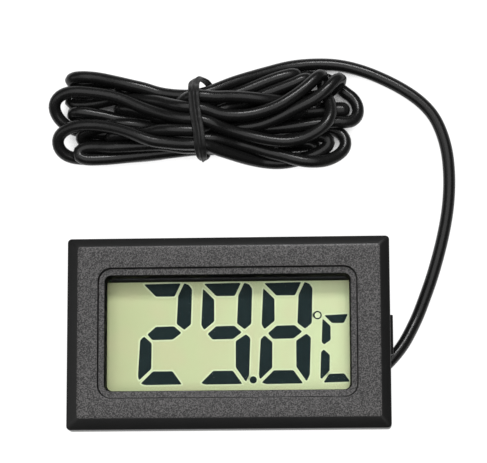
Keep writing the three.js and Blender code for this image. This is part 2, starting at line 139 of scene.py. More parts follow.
# Where each run of the hank passes under the tie, as (y, z), in the order that the lead takes them.
WAIST = [
    (38.2, 5.6), (38.2, 2.1), (35.5, 3.95), (34.7, 8), (32.75, 7.9), (31.7, 3.95), (34.2, 5.8), (34.4, 2.1),
    (31.1, 6), (32.5, 2.1), (30.6, 2.1), (29.95, 3.95), (29.85, 5.8), (33.6, 3.95), (36.2, 5.6),
    (36.3, 2.1), (37.4, 3.95), (36.8, 7.3), (32.3, 5.6), (35, 3),
]

# The turns at the hank's left end, from one waist place to the next.
LEFT_TURNS = [
    [(-9, 38.3, 5.2), (-11.8, 38.9, 4.8), (-14.9, 39.8, 4.4), (-18.1, 40.7, 4), (-20.5, 41.3, 3.7),
     (-22.8, 41.6, 3.5), (-24.7, 41.5, 3.2), (-25.8, 41.1, 2.2), (-24.7, 40.7, 1.3), (-21.6, 40.8, 1),
     (-17.6, 40.3, 1), (-12.8, 39, 1.3)],
    [(-10.4, 36.9, 2.4), (-14.4, 38.2, 1.4), (-18.4, 38.9, 1), (-22.4, 39, 1), (-24.8, 38.9, 1),
     (-25.6, 38, 1), (-24.6, 37.2, 1), (-21.5, 37.2, 1), (-18.2, 37.2, 1.3), (-15, 37.2, 2.4),
     (-12.2, 36.9, 4.2), (-9.3, 35.8, 5.8), (-7.1, 35, 7.3)],
    [(-9.3, 34.5, 5.8), (-12.5, 35.8, 5), (-15.7, 37.2, 4.6), (-18.8, 38.2, 4.4), (-22, 38.7, 4.2),
     (-24.5, 38.9, 4), (-26.5, 38.5, 3.6), (-27.7, 37.2, 3), (-27.5, 35.7, 2.2), (-26.3, 34.2, 1.5),
     (-24.6, 33.2, 1), (-21.5, 32.7, 1), (-16.8, 32.7, 1), (-12, 32.6, 1.4)],
    [(-9.5, 33.7, 4), (-12.7, 34.4, 3.2), (-15.4, 35.1, 2.9), (-18.2, 35.9, 2.9), (-22.1, 36.6, 2.9),
     (-24.1, 37, 2.8), (-25.7, 36.9, 2), (-24.5, 36.1, 1.2), (-20.7, 35.4, 1), (-15.2, 34.8, 1),
     (-10.5, 33.9, 1.4)],
    [(-10.2, 31.3, 4.6), (-14.2, 32.9, 2.9), (-18.2, 33.6, 2.7), (-22.3, 33.2, 2.4), (-24.8, 32.6, 1.6),
     (-24, 31.4, 1), (-20, 31.2, 1), (-16.8, 31.4, 1), (-11.2, 31.5, 1.4)],
    [(-8, 29.7, 3.2), (-12.7, 29.4, 2.9), (-16.6, 29.2, 2.9), (-20.5, 29, 2.9), (-22.7, 28.9, 2.9),
     (-24, 29.2, 2.7), (-24.3, 30.1, 2.5), (-23.2, 30.8, 2.4), (-18.2, 30.9, 2.4), (-14.3, 30.9, 2.4),
     (-9.6, 30.8, 2.8)],
    [(-7.8, 30.6, 5.4), (-10.9, 31.7, 5), (-14.1, 32.7, 4.7), (-16.4, 33.3, 4.5), (-20.3, 33.9, 4.3),
     (-23.5, 33.9, 4.1), (-25.9, 33.3, 3.7), (-27.3, 32.1, 3), (-27.3, 30.6, 2.3), (-26.3, 29.5, 1.6),
     (-24.4, 29.1, 1), (-21.5, 29, 0.97), (-16.8, 29.2, 0.97), (-11.3, 29.7, 1.2)],
    [(-9.8, 34.1, 4.4), (-12.7, 35.2, 3), (-15.4, 36.3, 2.8), (-17.4, 36.8, 2.6), (-18.3, 36.7, 1.8),
     (-17.2, 36.2, 1.2), (-14.4, 35.8, 1), (-10.5, 35.1, 1.4)],
    [(-9.9, 37.5, 3.6), (-12.7, 38.4, 2.9), (-15.5, 39.1, 2.7), (-17.5, 39.6, 2.4), (-18.3, 39.6, 1.7),
     (-17.2, 38.9, 1.1), (-14.4, 37.9, 1.1), (-10, 36.8, 2.8)],
    [(-9.8, 31.9, 5), (-12.6, 31.9, 3.4), (-15.4, 31.9, 2.7), (-18.2, 31.9, 2.4), (-19.1, 31.6, 1.7),
     (-18, 31.1, 1), (-14.4, 31.1, 1), (-10, 31.8, 1.8)],
]

# The turns at its right end.
RIGHT_TURNS = [
    [(-3, 38, 1.6), (1.3, 39.2, 1), (7.2, 40.2, 1), (12.2, 40.6, 1), (15.4, 40.1, 1), (17.5, 38.2, 1.1),
     (19.1, 36.9, 1.1), (20.3, 35.4, 1.2), (20.2, 34.2, 1.5), (18.8, 33.2, 2.1), (16.5, 33.1, 2.7),
     (13, 32.8, 2.9), (9.1, 32.6, 2.9), (4.5, 32.7, 3), (-0.2, 33.3, 3.4)],
    [(-2.7, 33.8, 7), (0, 33.7, 6.4), (2.3, 34, 6), (4.6, 34.7, 5.7), (7.7, 36.3, 5.4), (10.8, 38.5, 5.1),
     (12.5, 40.2, 4.7), (13.6, 41.3, 4), (13.9, 41, 3.3), (13.5, 40, 3), (14.1, 38.4, 3.1),
     (14.9, 36.6, 3.6), (15.1, 35.2, 4.2), (14.5, 33.3, 4.8), (12.7, 31.7, 4.9), (10.7, 30.7, 4.8),
     (8.4, 30.2, 4.8), (5.3, 30.4, 5), (1.5, 31.1, 5.4), (-2.3, 31.9, 6.6)],
    [(-0.9, 33.2, 4.2), (4.5, 33.7, 3.8), (7.6, 34.8, 4), (10.7, 36.2, 4.6), (13.1, 37.2, 4.9),
     (15.4, 39.1, 4.8), (17, 40.9, 4.1), (17.5, 40.6, 3.3), (16.6, 39.7, 2.8), (15, 38.7, 1.9),
     (13.2, 38.4, 1.1), (9.1, 38.1, 1), (3.6, 37.7, 1), (-1, 36.6, 2)],
    [(-2.6, 35.6, 1.6), (2, 35.2, 1), (7.5, 34.7, 1), (12.6, 34.3, 1), (15.5, 33.8, 1), (16.8, 32.6, 1),
     (17, 31.2, 1.1), (16.2, 29.9, 1.3), (14.2, 28.6, 1.9), (11.4, 27.9, 2.6), (9.1, 28.1, 2.8),
     (6.7, 28.7, 2.5), (3.6, 29.3, 2.4), (0.6, 30.1, 3.2), (-2.4, 30.9, 4.8)],
    [(-1.9, 32.6, 1.4), (3.6, 32, 1), (9.1, 31.3, 1), (12.2, 31.2, 1), (12.9, 30.5, 1), (11.8, 29.9, 1),
     (7.5, 30.2, 1), (2, 31.1, 1), (-1.9, 31.4, 1.2)],
    [(-2.6, 30.3, 2.4), (2, 30.6, 1.2), (7.5, 31.2, 1), (12.2, 32.2, 1), (14.9, 32.2, 1.2),
     (16.1, 31.1, 1.4), (14.7, 29.8, 1), (11.4, 28.4, 1), (8.2, 27.8, 1), (5.9, 27.9, 1.3),
     (3.3, 28.2, 2.6), (-0.1, 28.9, 4.2), (-2.8, 29.5, 5.2)],
    [(-2.5, 36.1, 4.2), (1.4, 37.3, 2.9), (6, 39.1, 2.7), (9.6, 40.6, 2.7), (11.5, 41.4, 2.5),
     (12.1, 41.1, 1.7), (11.1, 40.2, 1), (7.5, 38.9, 1), (2.1, 38, 1.2), (-1.8, 36.7, 2.6)],
    [(-2.5, 38, 3.6), (1.4, 39.2, 3.2), (5.3, 40.5, 2.9), (8.8, 41.5, 2.7), (10.3, 41.8, 2.3),
     (10.6, 41.3, 1.7), (8.4, 40.4, 1.7), (3.7, 38.8, 2), (-1, 37.6, 3.2)],
    [(-2.7, 36.8, 6.8), (0, 37.3, 5.8), (4.5, 37.6, 4.2), (7.6, 37.6, 3), (9.9, 37.4, 2.2),
     (11.1, 36.7, 1.4), (9.9, 36.2, 1), (6.7, 36.2, 1), (2.1, 36.4, 1.2), (-1.8, 35.7, 2.8)],
]

# The last stretch, into the probe.
LEAD_END = [(-1.8, 36.4, 1.8), (3.6, 36.3, 1.5), (6.6, 36.3, 1.5)]

# The turns that show on top of the hank, by their places in the two lists, keep to their lines.
SHOWN = ({0, 2, 3, 5, 6}, {0, 1, 2, 3, 5})

# How far the hank's runs may reach towards +Y and -Y, as (x, y). A run higher up reaches less far
# towards +Y, by LEAN for each millimetre of height.
LEAN = 0.171
FAR_EDGE = [
    (-28.8, 37.7), (-28, 39.3), (-26.7, 39.9), (-26.5, 41.7), (-25.6, 42.4), (-24.5, 42.5), (-23.3, 42.4),
    (-20.9, 42.2), (-18.5, 41.6), (-15.3, 40.8), (-12.2, 40), (-9.8, 39.7), (-7, 39.6), (-4.7, 39.5),
    (-2.7, 39.7), (1.2, 40.9), (5.2, 41.8), (9.1, 42.4), (13.6, 42.4), (15, 41.9), (17.1, 42.1), (17.9, 41),
    (20.8, 38.6),
]
NEAR_EDGE = [
    (-28.8, 35.7), (-27.9, 32.1), (-27.1, 30.5), (-26.1, 29.6), (-24.3, 29.3), (-22.4, 29.2), (-20, 29.2),
    (-16.9, 29.5), (-14.5, 29.7), (-11.4, 30), (-8.2, 30.3), (-5.9, 30.6), (-3.1, 30.6), (-0.8, 29.9),
    (1.2, 29.3), (3.1, 28.8), (5.1, 28.4), (7.4, 28.2), (9, 28.2), (11, 28.4), (14.3, 28.4), (16.4, 29),
    (17.8, 30), (20.7, 31.8),
]


# How the wound line settles.
SETTLE = {
    "rounds": 320, "quick_rounds": 60, "passes": 5,     # a round has this many passes
    "lead": 92,                                         # length of the lead that keeps its route
    "probe_steps": 3,                                   # steps at the probe that keep theirs
    "hold": 0.85,                                       # how much a held turn resists
    "pull": (0.05, 0.004),                              # pull back to the route, at first and always
    "sink": 0.03,                                       # fall in the first round
    "apart": 2.4,                                       # diameters along it before runs push apart
}


def route():
    """The cord's guide line: lead, then every turn through its place at the waist, then the probe.

    A fourth number says how firmly the line keeps its place there."""
    points = [(*point, 1.0) for point in LEAD]
    for k, (y, z) in enumerate(WAIST):
        points.append((WAIST_X, y, z, 0.5))
        if k < len(WAIST) - 1:
            side, turn = k % 2, k // 2
            hold = 1.0 if turn in SHOWN[side] else 0.0
            points += [(*point, hold) for point in (LEFT_TURNS, RIGHT_TURNS)[side][turn]]
    return np.array(points + [(*point, 0.5) for point in LEAD_END], float)


def smooth_line(points, per_span):
    """A centripetal Catmull-Rom line through the points."""
    ends = (2 * points[0] - points[1], 2 * points[-1] - points[-2])
    q = np.vstack([ends[0], points, ends[1]])
    out = []
    for i in range(1, len(q) - 2):
        p0, p1, p2, p3 = q[i - 1:i + 3]
        t1 = np.linalg.norm((p1 - p0)[:3]) ** 0.5
        t2 = t1 + np.linalg.norm((p2 - p1)[:3]) ** 0.5
        t3 = t2 + np.linalg.norm((p3 - p2)[:3]) ** 0.5
        t = np.linspace(t1, t2, per_span, endpoint=False)[:, None]
        a1 = ((t1 - t) * p0 + t * p1) / t1
        a2 = ((t2 - t) * p1 + (t - t1) * p2) / (t2 - t1)
        a3 = ((t3 - t) * p2 + (t - t2) * p3) / (t3 - t2)
        b1 = ((t2 - t) * a1 + t * a2) / t2
        b2 = ((t3 - t) * a2 + (t - t1) * a3) / (t3 - t1)
        out.append(((t2 - t) * b1 + (t - t1) * b2) / (t2 - t1))
    out.append(points[-1:])
    return np.vstack(out)


def even_steps(line, step):
    """The same line in steps of one length."""
    along = np.concatenate([[0], np.cumsum(np.linalg.norm(np.diff(line[:, :3], axis=0), axis=1))])
    marks = np.linspace(0, along[-1], int(round(along[-1] / step)) + 1)
    return np.stack([np.interp(marks, along, column) for column in line.T], 1)


def settle(line):
    """Lets the wound line push its runs apart, keep its length and bend, and sink to the table."""
    rounds = SETTLE["rounds"]
    p = line[:, :3].copy()
    home = p.copy()
    rest = np.linalg.norm(np.diff(p, axis=0), axis=1).mean()
    index = np.arange(len(p))
    free = 1 - SETTLE["hold"] * np.clip(line[:, 3], 0, 1)
    free[:int(SETTLE["lead"] / rest)] = 0
    free[-SETTLE["probe_steps"]:] = 0
    thick = 2 * CORD_RADIUS
    steps_apart = int(np.ceil(SETTLE["apart"] * thick / rest))
    apart = np.triu(np.abs(index[:, None] - index[None, :]) > steps_apart)
    pull_early, pull_always = SETTLE["pull"]
    for count in range(rounds):
        fade = 1 - count / rounds
        pull = pull_early * fade ** 2 + pull_always
        p += free[:, None] * pull * (home - p) * np.array([1, 1, 0.5])
        p[:, 2] -= free * SETTLE["sink"] * fade
        for _ in range(SETTLE["passes"]):
            part_runs(p, free, apart, thick)
            clear_probe(p, free)
            keep_in_waist(p, free)
            keep_in_outline(p, free)
            p = even_out(p, home, free, fade ** 2)
            hold_length(p, free, index, rest)
            p[:, 2] = np.maximum(p[:, 2], CORD_RADIUS)
    return p


def even_out(p, home, free, early):
    """Spreads the moves along the line, so that it keeps its smooth bends."""
    moved = p - home
    for reach, at_start, at_end in ((2, 0.5, 0.12), (5, 0.4, 0.01), (10, 0.3, 0.0)):
        share = at_end + (at_start - at_end) * early
        change = np.zeros_like(moved)
        change[reach:-reach] = 0.5 * (moved[2 * reach:] + moved[:-2 * reach]) - moved[reach:-reach]
        moved = moved + share * free[:, None] * change
    return home + moved


def part_runs(p, free, apart, thick):
    """Moves runs of the line that overlap away from each other."""
    x = p.astype(np.float32)
    square = np.einsum("ij,ij->i", x, x)
    gap = square[:, None] + square[None, :] - 2 * (x @ x.T)
    i, j = np.nonzero((gap < thick * thick) & apart)
    if not len(i):
        return
    between = p[j] - p[i]
    length = np.linalg.norm(between, axis=1) + 1e-6
    push = (0.7 * (thick - length) / length / (free[i] + free[j] + 1e-9))[:, None] * between
    move = np.zeros_like(p)
    count = np.zeros(len(p))
    np.add.at(move, i, -free[i][:, None] * push)
    np.add.at(move, j, free[j][:, None] * push)
    np.add.at(count, i, 1)
    np.add.at(count, j, 1)
    p += move / np.maximum(count, 1)[:, None] ** 0.7


def clear_probe(p, free):
    """Keeps the runs off the probe that lies among them."""
    beside = (p[:, 0] > PROBE["back"] - 0.5) & (p[:, 0] < PROBE["tip"] + 0.8) & (free > 0)
    beside[-8:] = False
    dy = p[:, 1] - PROBE["y"]
    dz = p[:, 2] - PROBE["z"]
    reach = np.hypot(dy, dz) + 1e-6
    push = np.clip(PROBE["radius"] + CORD_RADIUS - reach, 0, None) * beside / reach * 0.5
    p[:, 1] += push * dy
    p[:, 2] += push * dz


def keep_in_waist(p, free):
    """Holds the runs inside the tie where they pass through it."""
    near = np.clip(WAIST_ROOM["half_x"] - np.abs(p[:, 0] - WAIST_X), 0, 1) * (free > 0)
    for axis, key in ((1, "y"), (2, "z")):
        low, high = WAIST_ROOM[key]
        p[:, axis] += near * (np.clip(p[:, axis], low, high) - p[:, axis])
    p[:, 2] -= 0.5 * (free > 0) * np.clip(p[:, 2] - WAIST_ROOM["z"][1], 0, None)


def keep_in_outline(p, free):
    """Holds the runs between the hank's two long edges."""
    far = np.interp(p[:, 0], *zip(*FAR_EDGE))
    near = np.interp(p[:, 0], *zip(*NEAR_EDGE))
    seen = p[:, 1] + LEAN * p[:, 2]
    p[:, 1] += (free > 0) * (np.clip(seen, near, np.maximum(far, near)) - seen)


def hold_length(p, free, index, rest):
    """Brings every step back to its own length."""
    for first in (0, 1, 0, 1):
        a = index[first:-1:2]
        b = a + 1
        step = p[b] - p[a]
        length = np.linalg.norm(step, axis=1)
        fix = ((length - rest) / length / (free[a] + free[b] + 1e-9))[:, None] * step
        p[a] += free[a][:, None] * fix
        p[b] -= free[b][:, None] * fix


def wind_cord():
    """The cord's centreline in millimetres, wound, settled and smooth."""
    line = even_steps(smooth_line(route(), 16), 1.0)
    line = settle(line)
    before = np.vstack([line[:1], line[:-1]])
    after = np.vstack([line[1:], line[-1:]])
    line = 0.5 * line + 0.25 * (before + after)
    return even_steps(smooth_line(line, 4), 0.5)


def cord_piece(line):
    """The cord as one curve, with a round section."""
    curve = bpy.data.curves.new("probe_lead", "CURVE")
    curve.dimensions = "3D"
    curve.bevel_depth = CORD_RADIUS * MM
    curve.bevel_resolution = 5
    curve.use_fill_caps = True
    curve.twist_mode = "MINIMUM"
    spline = curve.splines.new("POLY")
    spline.points.add(len(line) - 1)
    spline.points.foreach_set("co", np.column_stack([line * MM, np.ones(len(line))]).ravel())
    spline.use_smooth = True
    return add_object("probe_lead", curve)


# ------------------------ lofted shells
def rounded_loop(half_w, half_d, corner, z, cx=0.0, cy=0.0, per_corner=7):
    """Points of a rounded rectangle, anticlockwise from the +X side."""
    points = []
    for sx, sy, start in ((1, 1, 0), (-1, 1, 90), (-1, -1, 180), (1, -1, 270)):
        for k in range(per_corner):
            angle = math.radians(start + 90 * k / (per_corner - 1))
            points.append((cx + sx * (half_w - corner) + corner * math.cos(angle),
                           cy + sy * (half_d - corner) + corner * math.sin(angle), z))
    return points


def fillet(profile, index, size, steps=3):
    """The loops that round the profile at one of its loops."""
    here = np.array(profile[index], float)
    before = np.array(profile[index - 1], float)
    after = np.array(profile[(index + 1) % len(profile)], float)
    to_before = before - here
    to_after = after - here
    start = here + to_before * min(0.45, size / max(np.hypot(to_before[0], to_before[3]), 1e-6))
    end = here + to_after * min(0.45, size / max(np.hypot(to_after[0], to_after[3]), 1e-6))
    marks = np.linspace(0, 1, steps + 1)
    return [start * (1 - t) ** 2 + here * 2 * t * (1 - t) + end * t ** 2 for t in marks]


def loft(profile, closed=True):
    """Faces through the loops, each joined to the next; closed joins the last to the first."""
    rings = [rounded_loop(*loop) for loop in profile]
    count = len(rings[0])
    vertices = [point for ring in rings for point in ring]
    faces = []
    spans = len(rings) if closed else len(rings) - 1
    for k in range(spans):
        a = k * count
        b = ((k + 1) % len(rings)) * count
        for i in range(count):
            j = (i + 1) % count
            faces.append((a + i, a + j, b + j, b + i))
    if not closed:
        faces.append(tuple(reversed(range(count))))
        last = (len(rings) - 1) * count
        faces.append(tuple(last + i for i in range(count)))
    return vertices, faces


# ------------------------ bezel
def bezel_profile():
    """The bezel's section, from the pocket behind the window, over the top and round to the seat."""
    vx, vy = VIEW
    b, w, r, s = BEZEL, WINDOW, RING, SEAT
    face = (b["half_w"] - BEVEL, b["half_d"] - BEVEL, 0.4)
    throat = (w["half_w"] - w["draft"], w["half_d"] - w["draft"], w["corner"])
    return [
        # half width, half depth, corner, z, centre x, centre y, rounding
        (POCKET["half_w"], POCKET["half_d"], 0.1, s["z"], 0, 0, 0.05),
        (POCKET["half_w"], POCKET["half_d"], 0.1, w["bottom"], 0, 0, 0.05),
        (*throat, w["bottom"], vx, vy, 0.08),
        (w["half_w"], w["half_d"], w["corner"], r["z"], vx, vy, 0.14),
        (r["half_w"] - 0.04, r["half_d"] - 0.04, r["corner"] - 0.04, r["z"], vx, vy, 0.07),
        (r["half_w"] + 0.04, r["half_d"] + 0.04, r["corner"] + 0.04, b["top"], vx, vy, 0.14),
        (*face, b["top"], *FACE, 0.3),
        (b["half_w"], b["half_d"], b["corner"], b["rim"], 0, 0, 0.22),
        (b["half_w"], b["half_d"], b["corner"], b["bottom"], 0, 0, 0.12),
        (s["half_w"], s["half_d"], s["corner"], b["bottom"], 0, 0, 0.06),
        (s["half_w"], s["half_d"], s["corner"], s["z"], 0, 0, 0.06),
    ]


def box_sweep(outer, inner, low, high):
    """A wall between two open lines of the same number of points, from low to high."""
    count = len(outer)
    vertices = [(x, y, z) for z in (low, high) for line in (outer, inner) for x, y in line]
    o0, i0, o1, i1 = (k * count for k in range(4))
    faces = [(o0, i0, i1, o1), (o0 + count - 1, o1 + count - 1, i1 + count - 1, i0 + count - 1)]
    for k in range(count - 1):
        faces += [
            (o0 + k, o0 + k + 1, i0 + k + 1, i0 + k), (o1 + k, i1 + k, i1 + k + 1, o1 + k + 1),
            (o0 + k, o1 + k, o1 + k + 1, o0 + k + 1), (i0 + k, i0 + k + 1, i1 + k + 1, i1 + k),
        ]
    return vertices, faces


def join_parts(parts):
    """One list of vertices and one of faces from several."""
    vertices, faces = [], []
    for more_vertices, more_faces in parts:
        start = len(vertices)
        vertices += more_vertices
        faces += [tuple(start + i for i in face) for face in more_faces]
    return vertices, faces


def spigot_half(side):
    """Half of the wall that plugs into the case, open where the latches stand."""
    gap_y = SPIGOT["latch_gap"]
    lines = []
    for half_w, half_d, corner in (SPIGOT["outer"], SPIGOT["inner"]):
        loop = [(x, y) for x, y, _ in rounded_loop(half_w, half_d, corner, 0) if y > 0]
        lines.append([(half_w, gap_y)] + loop + [(-half_w, gap_y)])
    outer, inner = ([(side * x, side * y) for x, y in line] for line in lines)
    return box_sweep(outer, inner, *SPIGOT["z"])


def screw_post(x, y):
    """A post with a bore for one of the board's screws."""
    low, high = POST["z"]
    out, bore = POST["radius"], POST["bore"]
    return loft([
        (out, out, 0.2, low, x, y), (out, out, 0.2, high, x, y),
        (bore, bore, bore - 0.01, high, x, y), (bore, bore, bore - 0.01, low, x, y),
    ])


def build_bezel():
    profile = bezel_profile()
    shape = [loop[:6] for loop in profile]
    rounded = []
    for k, loop in enumerate(profile):
        rounded += fillet(shape, k, loop[6])
    parts = [loft([tuple(loop) for loop in rounded]), spigot_half(1), spigot_half(-1)]
    parts += [screw_post(sx * POST["x"], sy * POST["y"]) for sx in (1, -1) for sy in (1, -1)]
    return add_mesh("bezel_shell", *join_parts(parts), smooth_angle=40)


def paint_bezel(piece, grained, smooth, matt):
    """The front faces are grained, the outer slopes and walls smooth, and the window's walls matt and a
    little darker, painted shade for the recess.
    """
    for material in (grained, smooth, matt):
        piece.data.materials.append(material)
    level = (RING["z"] - 0.1) * MM
    for face in piece.data.polygons:
        middle = face.center
        within = abs(middle.x) < RING["half_w"] * MM and abs(middle.y) < RING["half_d"] * MM
        if face.normal.z > 0.97 and middle.z > level:
            face.material_index = 0
        elif within and middle.z < level:
            face.material_index = 2
        else:
            face.material_index = 1


# ------------------------ CAD shells with softened edges
def soften(node, name, width, body, segments=2):
    """A copy of a CAD node with its edges rounded, standing for it."""
    mesh = nodes[node].data.copy()
    mesh.name = name
    work = bmesh.new()
    work.from_mesh(mesh)
    bmesh.ops.remove_doubles(work, verts=work.verts, dist=MERGE_GAP)
    bmesh.ops.dissolve_limit(work, angle_limit=math.radians(1), verts=work.verts, edges=work.edges)
    sharp = [e for e in work.edges if e.is_manifold and e.calc_face_angle(0) > math.radians(32)]
    bmesh.ops.bevel(work, geom=sharp, offset=width * MM, segments=segments, profile=0.5,
                    affect="EDGES", clamp_overlap=True)
    work.to_mesh(mesh)
    work.free()
    shade(mesh, 35)
    mesh.materials.clear()
    piece = add_object(name, mesh)
    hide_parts(node)
    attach(piece, body)
    return piece


def ease_pane(piece, under, over):
    """Draws a pane's lower and upper faces in, so that it shares no plane with its neighbours."""
    heights = [v.co.z for v in piece.data.vertices]
    middle = (min(heights) + max(heights)) / 2
    for v in piece.data.vertices:
        v.co.z += under * MM if v.co.z < middle else -over * MM
    piece.data.update()


def seal_edges(pane, seal):
    """Gives the pane's sides the dark resin that closes the cell, so no light comes in past them."""
    pane.data.materials.append(seal)
    for face in pane.data.polygons:
        if abs(face.normal.z) < 0.5:
            face.material_index = 1


# ------------------------ display segments
DIGIT_PITCH = 9.04
DIGIT_CENTRE = (8.32, 0.38)           # the last digit's middle
SEGMENT_BOTTOM = 10.974
SEGMENT_TOP = 10.984
SEGMENT_ROUNDING = 0.16
SEGMENT_SPREAD = 0.05                 # how far the driven crystal reaches past its electrode
PAINTED_HALO = {"reach": 0.23, "bottom": 10.958, "top": 10.966}    # the painted pale halo round each segment

SEGMENTS = {
    "a": [(-3.0, 7.4), (2.4, 7.5), (1.5, 5.6), (-1.25, 5.6)],
    "b": [(3.0, 7.5), (3.65, 7.25), (4.1, 6.6), (3.95, 1.35), (3.0, 0.55), (1.9, 1.4), (2.1, 5.6)],
    "c": [(3.2, -0.3), (3.8, -0.85), (3.6, -6.4), (3.15, -7.3), (1.7, -5.2), (1.7, -1.3)],
    "d": [(-1.7, -5.75), (1.2, -5.75), (2.55, -7.65), (-2.85, -7.7), (-3.45, -7.5)],
    "e": [(-3.05, -0.5), (-1.95, -1.5), (-2.0, -5.3), (-3.75, -6.95), (-3.9, -6.4), (-3.6, -1.05)],
    "f": [(-3.2, 6.6), (-1.6, 5.0), (-1.6, 1.75), (-3.05, 0.55), (-3.45, 1.2)],
    "g": [(-2.5, -0.15), (-1.25, 0.95), (1.45, 1.0), (2.5, 0.05), (1.25, -0.9), (-1.8, -0.95)],
}
UNIT_LETTER = [
    [(5.95, 2.45), (9.35, 2.6), (8.75, 1.35), (7.05, 1.35)],
    [(5.65, 1.9), (6.75, 0.85), (6.75, -1.2), (5.8, -1.85), (5.5, -1.5)],
    [(5.75, -2.7), (6.6, -3.5), (6.55, -5.8), (5.4, -7.0), (5.25, -6.85), (5.4, -3.05)],
    [(6.55, -6.35), (8.75, -6.3), (9.55, -7.45), (5.75, -7.55)],
]
READING = ["abged", "abcdfg", "abcdefg"]
DEGREE_RING = {"x": 13.19, "y": 2.9, "radius": 0.54, "line": 0.21}
POINT = {"x": 3.53, "y": -6.72, "radius": 0.54}


def round_corners(outline, size):
    """The outline with every corner cut by a short curve."""
    points = []
    count = len(outline)
    for k, corner in enumerate(outline):
        here = np.array(corner)
        before = np.array(outline[k - 1])
        after = np.array(outline[(k + 1) % count])
        start = here + unit(before - here) * min(size, np.linalg.norm(before - here) / 3)
        end = here + unit(after - here) * min(size, np.linalg.norm(after - here) / 3)
        for t in (0.0, 0.5, 1.0):
            points.append(start * (1 - t) ** 2 + here * 2 * t * (1 - t) + end * t ** 2)
    return points


def prism(outline, low, high):
    """A closed prism on an outline."""
    count = len(outline)
    vertices = [(x, y, z) for z in (low, high) for x, y in outline]
    faces = [tuple(range(count)), tuple(count + i for i in range(count))]
    faces += [(i, (i + 1) % count, count + (i + 1) % count, count + i) for i in range(count)]
    return vertices, faces


def grow(outline, size):
    """A convex outline moved outwards by size, a little less at its sharp corners."""
    points = [np.array(point) for point in outline]
    middle = sum(points) / len(points)
    grown = []
    for k, here in enumerate(points):
        sides = []
        for first, second in ((points[k - 1], here), (here, points[(k + 1) % len(points)])):
            along = unit(second - first)
            outward = np.array([along[1], -along[0]])
            sides.append(outward if outward.dot(here - middle) > 0 else -outward)
        corner = unit(sides[0] + sides[1])
        grown.append(here + corner * size / max(corner.dot(sides[0]), 0.6))
    return grown


def disc(x, y, radius, count=24):
    angles = [2 * math.pi * k / count for k in range(count)]
    return [(x + radius * math.cos(a), y + radius * math.sin(a)) for a in angles]


def build_segments():
    """The reading, its point, the degree ring and the unit letter, with painted pale halos under them."""
    cx, cy = DIGIT_CENTRE
    outlines = []
    for place, lit in enumerate(READING):
        shift = cx + (place - 2) * DIGIT_PITCH
        for key in lit:
            outlines.append([(shift + x, cy + y) for x, y in SEGMENTS[key]])
    outlines += [[(cx + x, cy + y) for x, y in outline] for outline in UNIT_LETTER]
    shapes = [grow(round_corners(outline, SEGMENT_ROUNDING), SEGMENT_SPREAD) for outline in outlines]
    shapes.append(disc(POINT["x"], POINT["y"], POINT["radius"]))
    parts = [prism(shape, SEGMENT_BOTTOM, SEGMENT_TOP) for shape in shapes]
    ring = DEGREE_RING
    shapes.append(disc(ring["x"], ring["y"], ring["radius"]))
    glow = PAINTED_HALO
    parts += [prism(grow(shape, glow["reach"]), glow["bottom"], glow["top"]) for shape in shapes]
    outer, inner = (ring["radius"] + side * ring["line"] / 2 for side in (1, -1))
    parts.append(loft([(r, r, r, z, ring["x"], ring["y"]) for r, z in (
        (outer, SEGMENT_BOTTOM), (outer, SEGMENT_TOP), (inner, SEGMENT_TOP), (inner, SEGMENT_BOTTOM))]))
    return add_mesh("display_segments", *join_parts(parts), smooth_angle=10)


def paint_segments(piece, ink, glow):
    """The segments are dark, and the sheet just below them is a pale halo, a painted highlight round each.
    """
    piece.data.materials.append(ink)
    piece.data.materials.append(glow)
    level = (SEGMENT_BOTTOM + PAINTED_HALO["top"]) / 2 * MM
    for face in piece.data.polygons:
        face.material_index = 0 if face.center.z > level else 1


# ------------------------ tie round the hank
TIE = {"half_width": 0.9, "thick": 0.34, "ridge": 0.6, "centre": (34.1, 5.1), "half_span": 2.4,
       "gap": 0.04, "floor": 0.03}
# Where the strap stands along X, at angles round the bundle: 0 is the far side and 90 the top.
TIE_LEAN = [(-60, -2.8), (-30, -3.3), (-10, -4.0), (5, -5.0), (20, -5.6), (60, -5.45), (90, -5.15),
            (130, -4.6), (165, -4.35), (200, -4.35), (250, -3.6), (300, -2.8)]
# How far it stands off the runs: a slack fold at the far side and a pinched one at the near side.
TIE_SLACK = [(-60, 0.1), (-25, 0.5), (0, 0.8), (25, 0.3), (55, 0.0), (150, 0.0), (178, 0.45),
             (205, 0.1), (300, 0.1)]
TIE_WIDTH = [(-60, 0.75), (-25, 0.6), (0, 0.75), (25, 0.95), (150, 1.0), (168, 0.8), (178, 0.4),
             (195, 0.6), (300, 0.75)]


def table_value(table, angle):
    return float(np.interp(angle, [row[0] for row in table], [row[1] for row in table]))


def tie_path(line, count=120):
    """The strap's path: round the runs at the waist, a little off them."""
    near = line[np.abs(line[:, 0] - WAIST_X) < TIE["half_span"]]
    centre = np.array(TIE["centre"])
    sections = near[:, 1:] - centre
    angles = np.linspace(-60, 300, count, endpoint=False)
    directions = np.stack([np.cos(np.radians(angles)), np.sin(np.radians(angles))], 1)
    support = (directions @ sections.T).max(axis=1) + CORD_RADIUS
    radius = []
    for k in range(count):
        facing = directions @ directions[k]
        ahead = facing > 0.1
        radius.append((support[ahead] / facing[ahead]).min())
    radius = np.array(radius)
    for _ in range(4):
        radius = np.maximum(radius, (np.roll(radius, 1) + np.roll(radius, -1)) / 2)
    path = []
    for k, angle in enumerate(angles):
        out = radius[k] + TIE["gap"] + table_value(TIE_SLACK, angle)
        y, z = centre + directions[k] * out
        path.append((table_value(TIE_LEAN, angle), y, max(z, 0.1)))
    return angles, smooth_closed(np.array(path), 3)


def smooth_closed(points, rounds):
    for _ in range(rounds):
        points = 0.5 * points + 0.25 * (np.roll(points, 1, axis=0) + np.roll(points, -1, axis=0))
    return points


